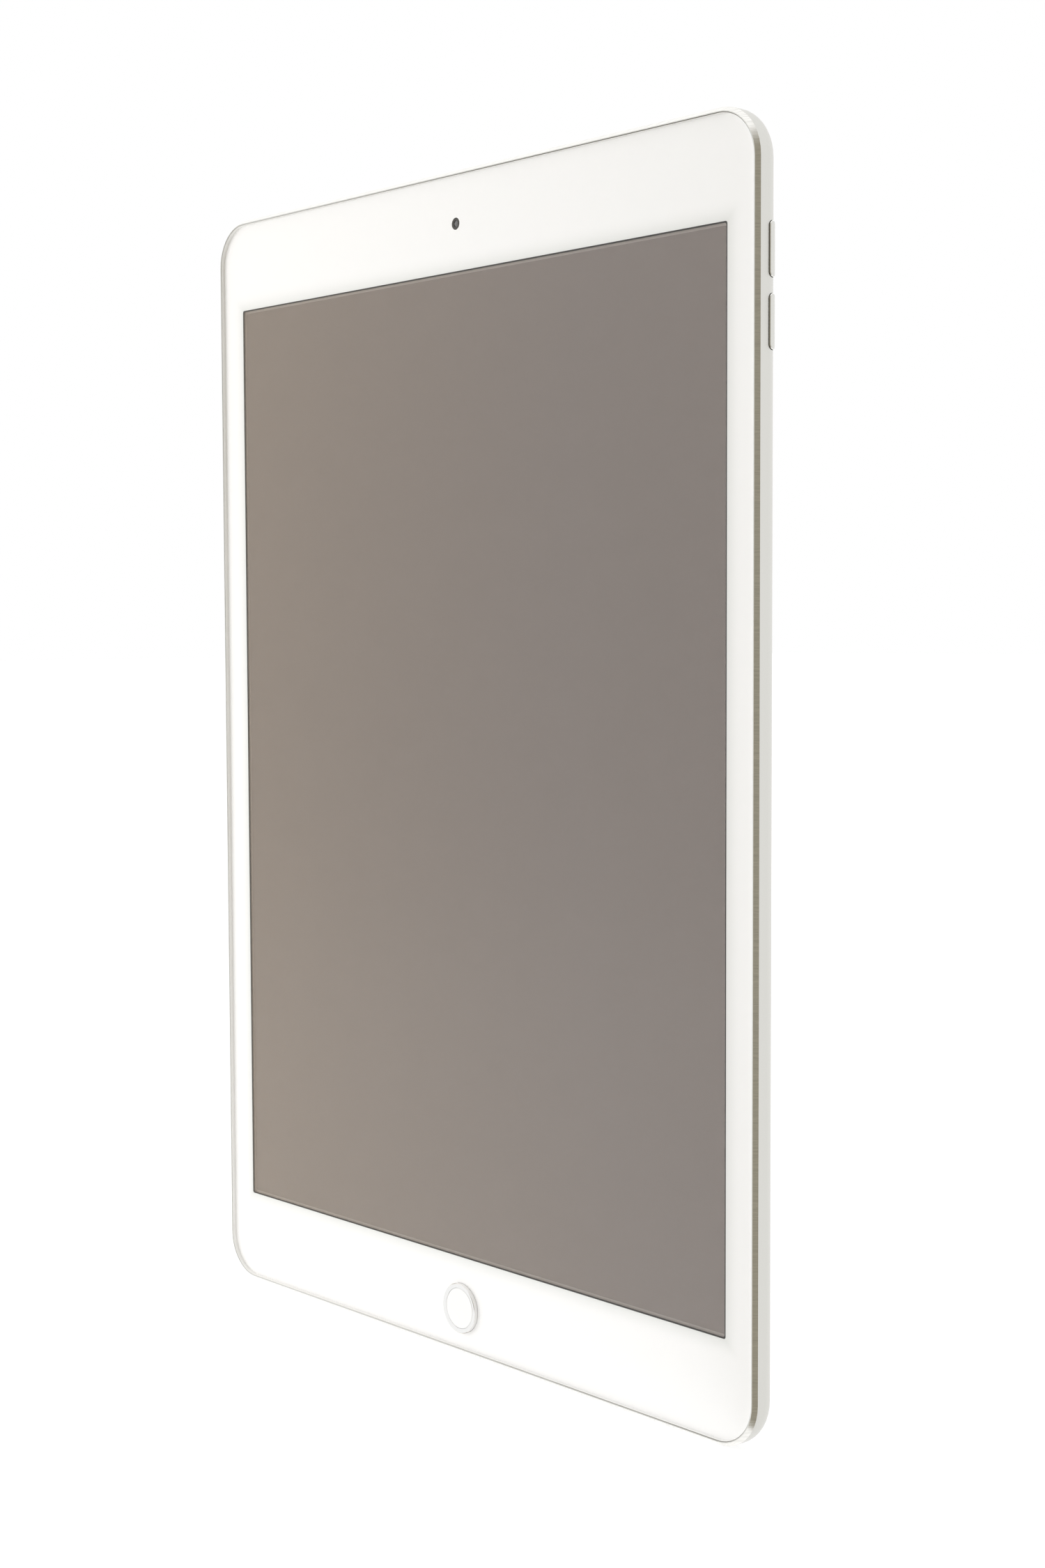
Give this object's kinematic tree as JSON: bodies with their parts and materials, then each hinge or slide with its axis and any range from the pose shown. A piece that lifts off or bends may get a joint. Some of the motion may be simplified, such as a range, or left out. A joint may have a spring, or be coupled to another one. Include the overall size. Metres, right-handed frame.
{
  "type": "tablet computer",
  "caption": "Slim tablet computer with a silver metal back, white-bordered glass front, round home button, volume and power buttons, and a camera on each side.",
  "frame": {"origin": "middle of the bottom edge, half-way through the thickness", "axes": "+Z along the height, screen faces -Y, +X to the right as seen from the screen side"},
  "size_m": [0.1743, 0.0074, 0.2509],
  "materials": {
    "anodised_shell": "fine bead-blasted, clear anodised",
    "bevelled_metal": "polished bevels, anodised",
    "cover_glass": "clear, polished",
    "border_white": "white print behind glass",
    "border_black": "black print behind glass",
    "clear_film": "clear film",
    "edge_gasket": "soft grey",
    "black_foam": "foam",
    "glue": "adhesive",
    "screen_glass": "switched-off liquid crystal cell",
    "screen_border": "cell glass outside the picture",
    "light_guide": "diffuser stack",
    "steel_sheet": "pressed sheet",
    "home_cap_white": "gloss",
    "home_ring_metal": "turned and polished",
    "sensor_chip": "moulded",
    "battery_pouch": "foil pouch, black film",
    "circuit_board": "solder mask",
    "chip_black": "moulded",
    "ribbon_flex": "polyimide",
    "camera_body": "moulded",
    "lens_glass": "coated, polished",
    "speaker_case": "moulded",
    "fine_mesh": "woven mesh",
    "socket_plastic": "moulded",
    "magnet_nickel": "nickel plated",
    "gold_contact": "plated"
  },
  "bodies": {
    "tablet": {"rear_housing": "anodised_shell", "glass_gasket": "edge_gasket", "glass_adhesive": "glue", "cover_glass": "cover_glass", "border_ink": "border_white", "border_ink_backing": "border_black", "touch_film": "clear_film", "touch_flex": "ribbon_flex", "display_foam_gasket": "black_foam", "display_polarizer": "screen_glass", "display_panel": "screen_border", "display_backlight": "light_guide", "display_tray": "steel_sheet", "display_flex": "ribbon_flex", "display_screws": "steel_sheet", "home_button_gasket": "black_foam", "home_button_switch": "steel_sheet", "home_button_bracket": "steel_sheet", "home_button_flex": "ribbon_flex", "home_bracket_screws": "steel_sheet", "battery_cell_lower": "battery_pouch", "battery_cell_upper": "battery_pouch", "battery_adhesive": "glue", "battery_board": "circuit_board", "logic_board": "circuit_board", "logic_board_chips": "chip_black", "logic_board_shield": "steel_sheet", "logic_board_screws": "steel_sheet", "antenna_left": "ribbon_flex", "antenna_right": "ribbon_flex", "front_camera": "camera_body", "front_camera_lens": "lens_glass", "rear_camera": "camera_body", "rear_camera_lens": "lens_glass", "rear_camera_ring": "bevelled_metal", "microphone": "chip_black", "speaker_left": "speaker_case", "speaker_right": "speaker_case", "speaker_mesh_left": "fine_mesh", "speaker_mesh_right": "fine_mesh", "headphone_jack": "socket_plastic", "headphone_jack_flex": "ribbon_flex", "charge_port": "steel_sheet", "charge_port_tongue": "socket_plastic", "charge_port_flex": "ribbon_flex", "volume_switches": "ribbon_flex", "volume_bracket": "steel_sheet", "power_switch": "ribbon_flex", "power_bracket": "steel_sheet", "cover_magnets": "magnet_nickel", "accessory_contacts": "gold_contact"},
    "home_button": {"home_button_cap": "home_cap_white", "home_button_ring": "home_ring_metal", "home_button_sensor": "sensor_chip"},
    "volume_up": {"volume_up_button": "bevelled_metal"},
    "volume_down": {"volume_down_button": "bevelled_metal"},
    "power": {"power_button": "bevelled_metal"}
  },
  "joints": [
    {"name": "home_button_press", "type": "slide", "parent": "tablet", "child": "home_button", "axis": [0, 1, 0], "range_m": [0, 0.0003], "stiffness_N_per_m": 3000},
    {"name": "volume_up_press", "type": "slide", "parent": "tablet", "child": "volume_up", "axis": [-1, 0, 0], "range_m": [0, 0.00025], "stiffness_N_per_m": 4000},
    {"name": "volume_down_press", "type": "slide", "parent": "tablet", "child": "volume_down", "axis": [-1, 0, 0], "range_m": [0, 0.00025], "stiffness_N_per_m": 4000},
    {"name": "power_press", "type": "slide", "parent": "tablet", "child": "power", "axis": [0, 0, -1], "range_m": [0, 0.00025], "stiffness_N_per_m": 4000}
  ]
}
